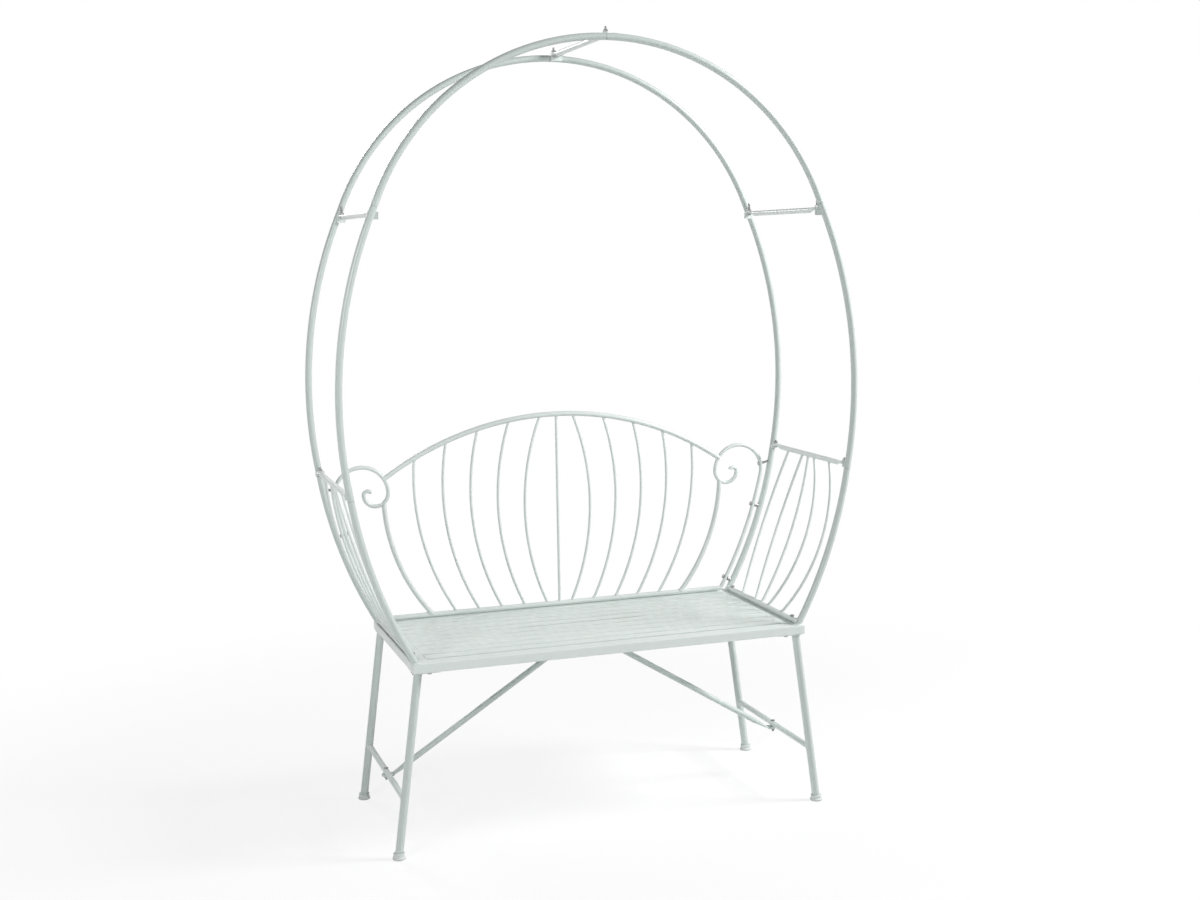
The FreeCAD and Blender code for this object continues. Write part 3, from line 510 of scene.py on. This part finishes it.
FINISH = {
    "painted_tube": tube_paint,
    "painted_frame": bar_paint,
    "zinc_bolt": steel,
    "foot_plastic": cap_plastic,
}
slot_of = {row["node"]: row["material_slot"] for row in frame["record"]["subparts"]}
for node, thing in frame["nodes"].items():
    for material_slot in thing.material_slots:
        material_slot.material = FINISH[slot_of[node]]
    # Keeps the facets of a thin tube from showing where light grazes it
    thing.shadow_terminator_geometry_offset = 1.0


# Welds: a bead wherever a bar's cut end meets its neighbour. A cut end is told from other
# sharp edges by the least length of its outline, and by its level.
BAR_OUTLINE = 35 * MM
POST_OUTLINE = 45 * MM
LEG_OUTLINE = 55 * MM
SAME_LEVEL = 2 * MM


def welds_round(name, nodes, radius, seed, longer_than=0.0, near_level=None):
    """Beads round the cut ends of the given nodes' bars, as one piece."""
    chance = random.Random(seed)
    made = bmesh.new()
    for node in nodes:
        for ring in sharp_rings(node):
            if ring_length(ring) < longer_than:
                continue
            if near_level is not None and abs(ring_middle(ring).z - near_level) > SAME_LEVEL:
                continue
            weld_bead(made, ring, radius, True, chance)
    return new_piece(name, made, weld_paint)


def welds_along(name, lines, radius, seed):
    """Straight beads, each between two or more points, as one piece."""
    chance = random.Random(seed)
    made = bmesh.new()
    for line in lines:
        weld_bead(made, line, radius, False, chance)
    return new_piece(name, made, weld_paint)


for side in ("left", "right"):
    welds_round("arm_rod_welds_" + side, ["arm_rods_" + side], ROD_BEAD, 11)
    welds_round("backrest_rod_welds_" + side, ["backrest_rods_" + side], ROD_BEAD, 23)
    bars = ["backrest_stile_" + side, "arm_bottom_bar_" + side, "leg_rail_" + side]
    welds_round("bar_welds_" + side, bars, BAR_BEAD, 31, BAR_OUTLINE)
    welds_round("scroll_weld_" + side, ["backrest_scroll_" + side], BAR_BEAD, 37, 0.0, SEAT_TOP)
welds_round("centre_rod_welds", ["backrest_centre_rod"], ROD_BEAD, 41)
welds_round("backrest_rail_welds", ["backrest_arch_rail", "backrest_bottom_rail"], BAR_BEAD, 43)
for end in ("front", "rear"):
    posts = [end + "_left_post", end + "_right_post"]
    welds_round(end + "_post_welds", posts, TUBE_BEAD, 47, POST_OUTLINE, SEAT_TOP)
    legs = [end + "_left_leg", end + "_right_leg"]
    welds_round(end + "_leg_welds", legs, TUBE_BEAD, 53, LEG_OUTLINE, PLATE_BOTTOM)

# Straight beads. A tube is measured this near to its tab's level, and a tab this wide is
# one at the crown. The other values say where the beads lie and how far they reach.
NEAR_TAB = 30 * MM
WIDE_TAB = 25 * MM
TAB_BEAD_ASIDE = 4.6 * MM
TAB_BEAD_AWAY = 0.9 * MM
TAB_EDGE = 1 * MM
SLAT_BEAD_HALF = 11 * MM
BEARER_BEAD_HALF = 7 * MM
STRAP_BEAD_INSET = 5 * MM
SEAM_INSET = 1.1 * MM
SEAM_SINK = 0.4 * MM


def box_of(points):
    low = Vector(min(point[axis] for point in points) for axis in range(3))
    high = Vector(max(point[axis] for point in points) for axis in range(3))
    return low, high


def tube_middle(node, level):
    """Where the middle of a leaning tube is at one level, from a line through its points near there."""
    points = [vert.co for vert in frame["nodes"][node].data.vertices]
    near = [point for point in points if abs(point.z - level) < NEAR_TAB]
    middle = sum(near, Vector()) / len(near)
    rise = sum((point.z - middle.z) ** 2 for point in near)
    lean = sum((point.x - middle.x) * (point.z - middle.z) for point in near) / rise
    return middle.x + lean * (level - middle.z)


def tab_weld_lines():
    """Two beads where each angle tab lies against its hoop tube."""
    lines = []
    for part in loose_parts("cross_bar_tabs"):
        low, high = box_of(part)
        rear = low.y > 0
        y = high.y + TAB_BEAD_AWAY if rear else low.y - TAB_BEAD_AWAY
        hoop = ("rear" if rear else "front") + ("_right" if low.x > 0 else "_left") + "_hoop_side"
        for aside in (-TAB_BEAD_ASIDE, TAB_BEAD_ASIDE):
            if high.x - low.x < WIDE_TAB:
                places = [Vector((tube_middle(hoop, z) + aside, y, z)) for z in (low.z, high.z)]
                for place in places:
                    place.x = min(max(place.x, low.x + TAB_EDGE), high.x - TAB_EDGE)
            else:
                places = [Vector((x, y, CROWN_AXIS + aside)) for x in (low.x, high.x)]
            lines.append(places)
    return lines


def line_across(x, middle_y, z, half):
    """A level line from front to rear about its middle."""
    return [Vector((x, middle_y - half, z)), Vector((x, middle_y + half, z))]


def seat_weld_lines():
    """Beads under the slats' ends, at the bearers and at the strap."""
    rail_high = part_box("seat_left_rail")[1]
    inside = abs(rail_high.x)
    lines = []
    for slat in loose_parts("seat_slats"):
        low, high = box_of(slat)
        middle = (low.y + high.y) / 2
        for x in (-inside, inside):
            lines.append(line_across(x, middle, low.z, SLAT_BEAD_HALF))
        for side in ("left", "right"):
            bearer_low, bearer_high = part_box("seat_bearer_" + side)
            for x in (bearer_low.x, bearer_high.x):
                lines.append(line_across(x, middle, low.z, BEARER_BEAD_HALF))
    strap_low, strap_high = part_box("seat_centre_strap")
    for x in (strap_low.x, strap_high.x):
        middle = (strap_low.y + strap_high.y) / 2
        half = (strap_high.y - strap_low.y) / 2 - STRAP_BEAD_INSET
        lines.append(line_across(x, middle, strap_high.z, half))
    for side in ("left", "right"):
        low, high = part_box("seat_bearer_" + side)
        for y in (low.y, high.y):
            lines.append([Vector((low.x, y, low.z)), Vector((high.x, y, low.z))])
    return lines


def mitre_seams():
    """The ground weld seam over each corner of the seat frame."""
    low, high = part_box("seat_front_rail")
    outer_x = high.x
    outer_y = -low.y
    lines = []
    for side in (-1, 1):
        for end in (-1, 1):
            inner = Vector((side * (outer_x - RAIL_WIDTH), end * (outer_y - RAIL_WIDTH), 0))
            outer = Vector((side * outer_x, end * outer_y, 0))
            top = Vector((0, 0, SEAT_TOP - SEAM_SINK))
            bottom = Vector((0, 0, RAIL_BOTTOM + SEAM_SINK))
            corner = outer.lerp(inner, SEAM_INSET / RAIL_WIDTH)
            lines.append([inner + top, corner + top, corner + bottom, inner + bottom])
    return lines


welds_along("tab_welds", tab_weld_lines(), ROD_BEAD, 59)
welds_along("seat_welds", seat_weld_lines(), ROD_BEAD, 61)
welds_along("mitre_seams", mitre_seams(), SEAM_BEAD, 67)

# Bolts and nuts: hexagons with turned chamfers, and a cut thread
THREAD_PITCH = 1.0 * MM
THREAD_CORE = 2.62 * MM
THREAD_CREST = 3.0 * MM
THREAD_RUN = 21 * MM
THREAD_LEAD = 0.5 * MM
THREAD_CLEAR = 1.3 * MM
TOOTH_FOOT_HALF = 0.45 * MM
TOOTH_CREST_HALF = 0.06 * MM
TOOTH_SINK = 0.96
LAST_TOOTH = 0.2
TURN_STEPS = 14
TIP_CHAMFER = 0.7 * MM
TIP_SHARE = 0.82
SHANK_RADIUS = 2.95 * MM
SHANK_SIDES = 24
HEX_CORNER = 5.75 * MM
HEX_POINTS = 36
NUT_HEIGHT = 5 * MM
NUT_MOUTH = 3.4 * MM
NUT_BORE = 3.05 * MM
NUT_COUNTERSINK = 0.4 * MM

# A head has points this far from the axis, a hexagon head is taller than a low round one,
# and a bolt or nut this slim along X and Y stands upright
HEAD_REACH = 4 * MM
HEX_HEAD_HEIGHT = 3 * MM
UPRIGHT_WIDTH = 13 * MM

# Heads and nuts as (share of the height, radius in millimetres)
HEX_HEAD_SHAPE = ((0.0, 4.4), (0.10, 5.2), (0.32, 5.75), (0.94, 5.75), (1.0, 4.9))
LOW_HEAD_SHAPE = ((0.0, 3.4), (0.12, 4.5), (0.40, 5.4), (0.75, 5.75), (1.0, 5.6))
NUT_SHAPE = ((0.0, 4.9), (0.16, 5.75), (0.84, 5.75), (1.0, 4.9))


def hex_ring(centre, axes, corner_radius, limit, turn):
    """A hexagon's outline, rounded off where it passes the limit radius."""
    across, up = axes[1:]
    apothem = corner_radius * math.cos(math.pi / 6)
    points = []
    for index in range(HEX_POINTS):
        angle = 2 * math.pi * index / HEX_POINTS
        to_flat = (angle % (math.pi / 3)) - math.pi / 6
        radius = min(apothem / math.cos(to_flat), limit)
        angle += turn
        points.append(centre + (across * math.cos(angle) + up * math.sin(angle)) * radius)
    return points


def reach_along(points, way):
    """How low and how high the points reach in a direction."""
    reach = [point.dot(way) for point in points]
    return min(reach), max(reach)


def fastener_axis(points, slim):
    """The axis of a bolt or nut: upright, or leaning in the plane of the backrest."""
    low, high = box_of(points)
    if max(high.x - low.x, high.y - low.y) < UPRIGHT_WIDTH:
        return Vector((0, 0, 1))
    widths = []
    for quarter_degrees in range(4 * 180):
        turn = math.radians(quarter_degrees / 4)
        way = Vector((math.cos(turn), 0, math.sin(turn)))
        lowest, highest = reach_along(points, way)
        widths.append((highest - lowest, quarter_degrees, way))
    narrow = min(widths)[2]
    return Vector((-narrow.z, 0, narrow.x)) if slim else narrow


def bolt_facts(points):
    """A bolt's head end, its tip, its axis and its head's height, from its solid's points."""
    axes = axes_about(fastener_axis(points, True))
    axis = axes[0]
    middles = [sum(reach_along(points, way)) / 2 for way in axes]
    centre = sum((way * middle for way, middle in zip(axes, middles)), Vector())
    lowest, highest = reach_along(points, axis)
    first = centre + axis * (lowest - middles[0])
    last = centre + axis * (highest - middles[0])
    wide = []
    for point in points:
        along = (point - first).dot(axis)
        if (point - first - axis * along).length > HEAD_REACH:
            wide.append(along)
    if max(wide) > (last - first).length / 2:
        return last, first, -axis, (last - first).length - min(wide)
    return first, last, axis, max(wide)


def threaded_bolt(made, points, chance):
    """One bolt in place of its solid: head, shank and thread."""
    head_top, tip, axis, head_height = bolt_facts(points)
    length = (tip - head_top).length
    axes = axes_about(axis)
    turn = chance.uniform(0, math.pi / 3)
    if head_height > HEX_HEAD_HEIGHT:
        rings = [hex_ring(head_top + axis * head_height * share, axes, HEX_CORNER, limit * MM, turn)
                 for share, limit in HEX_HEAD_SHAPE]
    else:
        rings = [round_ring(head_top + axis * head_height * share, axes, limit * MM, HEX_POINTS)
                 for share, limit in LOW_HEAD_SHAPE]
    skin(made, rings, False, False)
    under = head_top + axis * head_height
    start = max(head_height, length - THREAD_RUN)
    plain = head_top + axis * start
    if start > head_height:
        skin(made, [round_ring(end, axes, SHANK_RADIUS, SHANK_SIDES) for end in (under, plain)], False)
    chamfer = tip - axis * TIP_CHAMFER
    core = [round_ring(place, axes, THREAD_CORE, SHANK_SIDES) for place in (plain, chamfer)]
    core.append(round_ring(tip, axes, THREAD_CORE * TIP_SHARE, SHANK_SIDES))
    skin(made, core, False)
    thread_helix(made, plain, axes, length - start - THREAD_CLEAR)


def thread_helix(made, plain, axes, run):
    """The tooth of a thread, wound up the axis from the plain end of its run."""
    axis = axes[0]
    turns = run / THREAD_PITCH
    steps = int(turns * TURN_STEPS)
    rings = []
    for step in range(steps + 1):
        angle = 2 * math.pi * step / TURN_STEPS
        outward = axes[1] * math.cos(angle) + axes[2] * math.sin(angle)
        spot = plain + axis * (THREAD_LEAD + THREAD_PITCH * step / TURN_STEPS)
        fade = min(1.0, step / TURN_STEPS, (steps - step) / TURN_STEPS + LAST_TOOTH)
        crest = THREAD_CORE + (THREAD_CREST - THREAD_CORE) * fade
        foot = spot + outward * (THREAD_CORE * TOOTH_SINK)
        top = spot + outward * crest
        rings.append([
            foot - axis * TOOTH_FOOT_HALF,
            top - axis * TOOTH_CREST_HALF,
            top + axis * TOOTH_CREST_HALF,
            foot + axis * TOOTH_FOOT_HALF,
        ])
    skin(made, rings, False, False)


def chamfered_nut(made, points, chance):
    """One hexagon nut in place of its solid."""
    low, high = box_of(points)
    middle = (low + high) / 2
    axis = fastener_axis(points, False)
    base = middle - axis * NUT_HEIGHT / 2
    axes = axes_about(axis)
    turn = chance.uniform(0, math.pi / 3)
    rings = [hex_ring(base + axis * NUT_HEIGHT * share, axes, HEX_CORNER, limit * MM, turn)
             for share, limit in NUT_SHAPE]
    bore = (
        (NUT_HEIGHT, NUT_MOUTH), (NUT_HEIGHT - NUT_COUNTERSINK, NUT_BORE),
        (NUT_COUNTERSINK, NUT_BORE), (0.0, NUT_MOUTH),
    )
    for level, radius in bore:
        rings.append(round_ring(base + axis * level, axes, radius, HEX_POINTS))
    skin(made, rings, True, False)


BOLT_NODES = ("cross_bar_bolts", "arm_panel_bolts", "backrest_bolts", "leg_bolts", "brace_bolts")
for number, node in enumerate(BOLT_NODES):
    chance = random.Random(71 + number)
    made = bmesh.new()
    for part in loose_parts(node):
        threaded_bolt(made, part, chance)
    piece = new_piece("threaded_" + node, made, steel)
    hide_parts(node)
chance = random.Random(83)
made = bmesh.new()
for part in loose_parts("hex_nuts"):
    chamfered_nut(made, part, chance)
piece = new_piece("chamfered_hex_nuts", made, steel)
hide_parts("hex_nuts")

# Foot caps: moulded, with a flared foot, a lip at the top and a socket for the leg, as
# (level, radius) in millimetres
LEG_LEAN = LEG_SHIFT / RAIL_BOTTOM
CAP_SIDES = 48
CAP_PROFILE = (
    (0.0, 13.4), (0.5, 14.4), (1.3, 14.9), (3.4, 15.0), (4.3, 14.7), (4.9, 13.9), (5.4, 13.3),
    (8.5, 12.8), (11.4, 12.5), (11.9, 12.8), (12.5, 13.0), (13.8, 12.9), (14.7, 12.3), (15.0, 11.6),
)
CAP_SOCKET = ((15.0, 10.5), (14.4, 9.9), (3.2, 9.75))


def moulded_caps():
    """The four caps, each lathed about its foot; the socket leans with the leg."""
    made = bmesh.new()
    upright = axes_about(Vector((0, 0, 1)))
    for part in loose_parts("foot_caps"):
        low, high = box_of(part)
        centre = (low + high) / 2
        side = 1 if centre.x > 0 else -1
        rings = []
        for level, radius in CAP_PROFILE:
            place = Vector((centre.x, centre.y, level * MM))
            rings.append(round_ring(place, upright, radius * MM, CAP_SIDES))
        for level, radius in CAP_SOCKET:
            x = centre.x - side * LEG_LEAN * level * MM
            place = Vector((x, centre.y, level * MM))
            rings.append(round_ring(place, upright, radius * MM, CAP_SIDES))
        skin(made, rings, False)
    piece = new_piece("moulded_foot_caps", made, cap_plastic)
    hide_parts("foot_caps")


moulded_caps()


# Softened edges on the parts cut from flat and square stock
def softened(node, width):
    """Join the solid's split corners and round its sharp edges a little."""
    thing = frame["nodes"][node]
    join = thing.modifiers.new("join", "WELD")
    join.merge_threshold = MERGE
    rounding = thing.modifiers.new("rounding", "BEVEL")
    rounding.limit_method = "ANGLE"
    rounding.angle_limit = math.radians(40)
    rounding.width = width
    rounding.segments = 3


FLAT_STOCK = {
    "seat_front_rail": 1.2 * MM, "seat_rear_rail": 1.2 * MM,
    "seat_left_rail": 1.2 * MM, "seat_right_rail": 1.2 * MM,
    "seat_slats": 0.8 * MM, "seat_bearer_left": 0.9 * MM, "seat_bearer_right": 0.9 * MM,
    "seat_centre_strap": 0.7 * MM, "leg_top_plates": 0.6 * MM, "cross_bar_tabs": 0.4 * MM,
}
for node, width in FLAT_STOCK.items():
    softened(node, width)


# Floor, light and camera
def seen_ray(tree):
    """One where the camera, a reflection or a clear body looks, and zero for other light."""
    path = tree.nodes.new("ShaderNodeLightPath")
    shown = math_node(tree, "MAXIMUM", path.outputs["Is Camera Ray"], path.outputs["Is Glossy Ray"])
    return math_node(tree, "MAXIMUM", shown, path.outputs["Is Transmission Ray"])


def pale_floor():
    """A wide pale floor that runs up into a far wall: near the bench it keeps the shadow."""
    made = bmesh.new()
    upright = axes_about(Vector((0, 0, 1)))
    levels = (WALL_HEIGHT, 0.0)
    rings = [round_ring(Vector((0, 0, level)), upright, FLOOR_REACH, FLOOR_SIDES) for level in levels]
    skin(made, rings, False, False)
    made.faces.ensure_lookup_table()
    made.faces.remove(max(made.faces, key=lambda face: face.calc_center_median().z))
    mesh = bpy.data.meshes.new("floor")
    made.to_mesh(mesh)
    made.free()
    material, tree, shader = new_material("pale_floor")
    material.cycles.emission_sampling = "NONE"
    tone = mixed(tree, seen_ray(tree), FLOOR_BOUNCE, FLOOR_WHITE)
    tree.links.new(tone, shader.inputs["Base Color"])
    shader.inputs["Roughness"].default_value = 0.9
    shader.inputs["Specular IOR Level"].default_value = 0.2
    place = tree.nodes.new("ShaderNodeTexCoord").outputs["Object"]
    away = tree.nodes.new("ShaderNodeVectorMath")
    away.operation = "LENGTH"
    tree.links.new(place, away.inputs[0])
    share = ramp(tree, away.outputs["Value"], FLOOR_NEAR, FLOOR_FAR, FLOOR_SHARE, 1.0)
    share.node.interpolation_type = "SMOOTHSTEP"
    white = tree.nodes.new("ShaderNodeEmission")
    white.inputs["Strength"].default_value = 1.0
    both = tree.nodes.new("ShaderNodeMixShader")
    tree.links.new(math_node(tree, "MULTIPLY", seen_ray(tree), share), both.inputs[0])
    tree.links.new(shader.outputs[0], both.inputs[1])
    tree.links.new(white.outputs[0], both.inputs[2])
    end = next(item for item in tree.nodes if item.type == "OUTPUT_MATERIAL")
    tree.links.new(both.outputs[0], end.inputs["Surface"])
    mesh.materials.append(material)
    floor = bpy.data.objects.new("floor", mesh)
    bpy.context.scene.collection.objects.link(floor)


def studio_world():
    """A soft light from all round under a dark ceiling, at full strength where it is seen.

    The far wall hides the ceiling from a camera that doesn't look up.
    """
    world = bpy.data.worlds.new("studio")
    bpy.context.scene.world = world
    world.use_nodes = True
    tree = world.node_tree
    tree.nodes.clear()
    place = tree.nodes.new("ShaderNodeTexCoord").outputs["Generated"]
    split = tree.nodes.new("ShaderNodeSeparateXYZ")
    tree.links.new(place, split.inputs[0])
    ceiling = ramp(tree, split.outputs["Z"], 0.15, 0.55, 1.0, 0.04)
    level = ramp(tree, seen_ray(tree), 0.0, 1.0, ROOM_LEVEL, 1.0)
    room = tree.nodes.new("ShaderNodeBackground")
    room.inputs["Color"].default_value = (1, 1, 1, 1)
    tree.links.new(math_node(tree, "MULTIPLY", ceiling, level), room.inputs["Strength"])
    end = tree.nodes.new("ShaderNodeOutputWorld")
    tree.links.new(room.outputs[0], end.inputs["Surface"])


def softbox(name, place, aim, width, height, watts):
    """A rectangular softbox that looks at a point."""
    lamp = bpy.data.lights.new(name, "AREA")
    lamp.shape = "RECTANGLE"
    lamp.size = width
    lamp.size_y = height
    lamp.energy = watts
    thing = bpy.data.objects.new(name, lamp)
    thing.location = place
    thing.rotation_euler = (Vector(aim) - Vector(place)).to_track_quat("-Z", "Y").to_euler()
    bpy.context.scene.collection.objects.link(thing)


pale_floor()
studio_world()
softbox("right_softbox", (3.3, -1.3, 3.3), (0, 0, 0.6), 1.1, 1.2, 205)
softbox("left_softbox", (-2.7, -2.4, 2.0), (0, 0, 0.5), 1.0, 1.1, 55)
softbox("rear_softbox", (-1.2, 3.2, 2.8), (0, 0, 0.8), 1.0, 1.0, 45)

# The photograph's camera, in metres and radians, with its lens in millimetres
PHOTO_PLACE = (-1.1913, -3.5984, 1.3701)
PHOTO_YAW = 0.330696
PHOTO_PITCH = 0.128838
PHOTO_ROLL = -0.0159207
PHOTO_LENS = 47.29


def photo_camera():
    """The camera where the photograph was taken, with the photograph's view."""
    yaw = PHOTO_YAW
    pitch = PHOTO_PITCH
    forward = Vector((math.sin(yaw) * math.cos(pitch), math.cos(yaw) * math.cos(pitch), -math.sin(pitch)))
    level = Vector((math.cos(yaw), -math.sin(yaw), 0))
    upward = level.cross(forward)
    right = level * math.cos(PHOTO_ROLL) + upward * math.sin(PHOTO_ROLL)
    up = upward * math.cos(PHOTO_ROLL) - level * math.sin(PHOTO_ROLL)
    eye = bpy.data.cameras.new("photo_camera")
    eye.sensor_width = 36
    eye.lens = PHOTO_LENS
    eye.clip_end = 200
    camera = bpy.data.objects.new("photo_camera", eye)
    turned = Matrix((right, up, -forward)).transposed().to_4x4()
    turned.translation = Vector(PHOTO_PLACE)
    camera.matrix_world = turned
    bpy.context.scene.collection.objects.link(camera)
    bpy.context.scene.camera = camera


photo_camera()
bpy.context.scene.view_settings.view_transform = "Standard"
